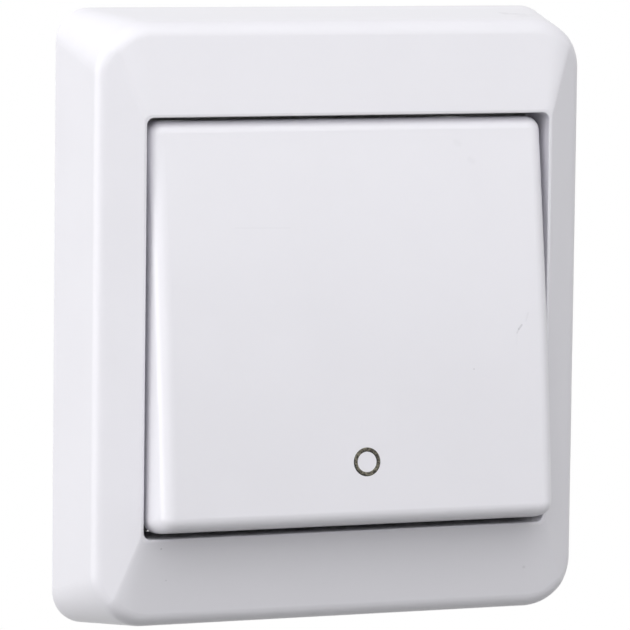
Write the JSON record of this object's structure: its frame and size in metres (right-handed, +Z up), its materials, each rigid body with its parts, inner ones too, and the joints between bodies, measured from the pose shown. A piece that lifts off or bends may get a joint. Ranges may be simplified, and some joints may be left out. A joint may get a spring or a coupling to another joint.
{
  "type": "surface-mounted rocker light switch",
  "caption": "White surface-mounted double-pole rocker switch: bevelled cover frame, tilting button with a ring mark, clipped base plate, screw terminals and rocking contacts.",
  "frame": {"origin": "middle of the two wall screw holes, on the wall plane at the base plate's back", "axes": "+X to the right as seen from the room, +Y into the wall, +Z up"},
  "size_m": [0.071, 0.022, 0.0816],
  "materials": {
    "cover_plastic": "glossy white moulded plastic",
    "base_plastic": "satin off-white moulded plastic",
    "housing_plastic": "matt grey moulded plastic",
    "cradle_plastic": "satin natural plastic",
    "plunger_plastic": "natural slippery plastic",
    "spring_steel": "bright spring wire",
    "contact_brass": "stamped brass",
    "contact_silver": "silver contact rivets",
    "mark_ink": "warm grey printed mark on the button",
    "plated_steel": "zinc-plated steel"
  },
  "bodies": {
    "root": {"cover_frame": "cover_plastic", "base_plate": "base_plastic", "switch_housing": "housing_plastic", "bearing_frame": "housing_plastic", "fixed_contact_left": "contact_silver", "fixed_contact_right": "contact_silver", "terminal_left_top": "contact_brass", "terminal_left_bottom": "contact_brass", "terminal_right_top": "contact_brass", "terminal_right_bottom": "contact_brass", "terminal_cage_left_top": "plated_steel", "terminal_cage_left_bottom": "plated_steel", "terminal_cage_right_top": "plated_steel", "terminal_cage_right_bottom": "plated_steel", "terminal_screws": "plated_steel", "mechanism_screws": "plated_steel"},
    "rocker": {"rocker_button": "cover_plastic", "rocker_cradle": "cradle_plastic", "plunger_spring_left": "spring_steel", "plunger_spring_right": "spring_steel"},
    "plunger_left_body": {"plunger_left": "plunger_plastic"},
    "plunger_right_body": {"plunger_right": "plunger_plastic"},
    "bridge_left_body": {"contact_bridge_left": "contact_brass", "moving_contact_left": "contact_silver"},
    "bridge_right_body": {"contact_bridge_right": "contact_brass", "moving_contact_right": "contact_silver"}
  },
  "joints": [
    {"name": "rocker_tilt", "type": "hinge", "parent": "root", "child": "rocker", "pos_m": [0, -0.0134, 0], "axis": [1, 0, 0], "range_deg": [0, 14]},
    {"name": "bridge_left_tilt", "type": "hinge", "parent": "root", "child": "bridge_left_body", "pos_m": [-0.009, -0.00558, 0], "axis": [1, 0, 0], "range_deg": [-16, 0]},
    {"name": "bridge_right_tilt", "type": "hinge", "parent": "root", "child": "bridge_right_body", "pos_m": [0.009, -0.00558, 0], "axis": [1, 0, 0], "range_deg": [-16, 0]},
    {"name": "plunger_left_push", "type": "slide", "parent": "rocker", "child": "plunger_left_body", "axis": [0, -0.9925, 0.1219], "range_m": [0, 0.0012], "stiffness_N_per_m": 60, "springref_m": -0.001, "deforming": ["plunger_spring_left"]},
    {"name": "plunger_right_push", "type": "slide", "parent": "rocker", "child": "plunger_right_body", "axis": [0, -0.9925, 0.1219], "range_m": [0, 0.0012], "stiffness_N_per_m": 60, "springref_m": -0.001, "deforming": ["plunger_spring_right"]}
  ],
  "couplings": [
    {"joint": "bridge_left_tilt", "follows": "rocker_tilt", "ratio": -1.1429},
    {"joint": "bridge_right_tilt", "follows": "rocker_tilt", "ratio": -1.1429}
  ]
}
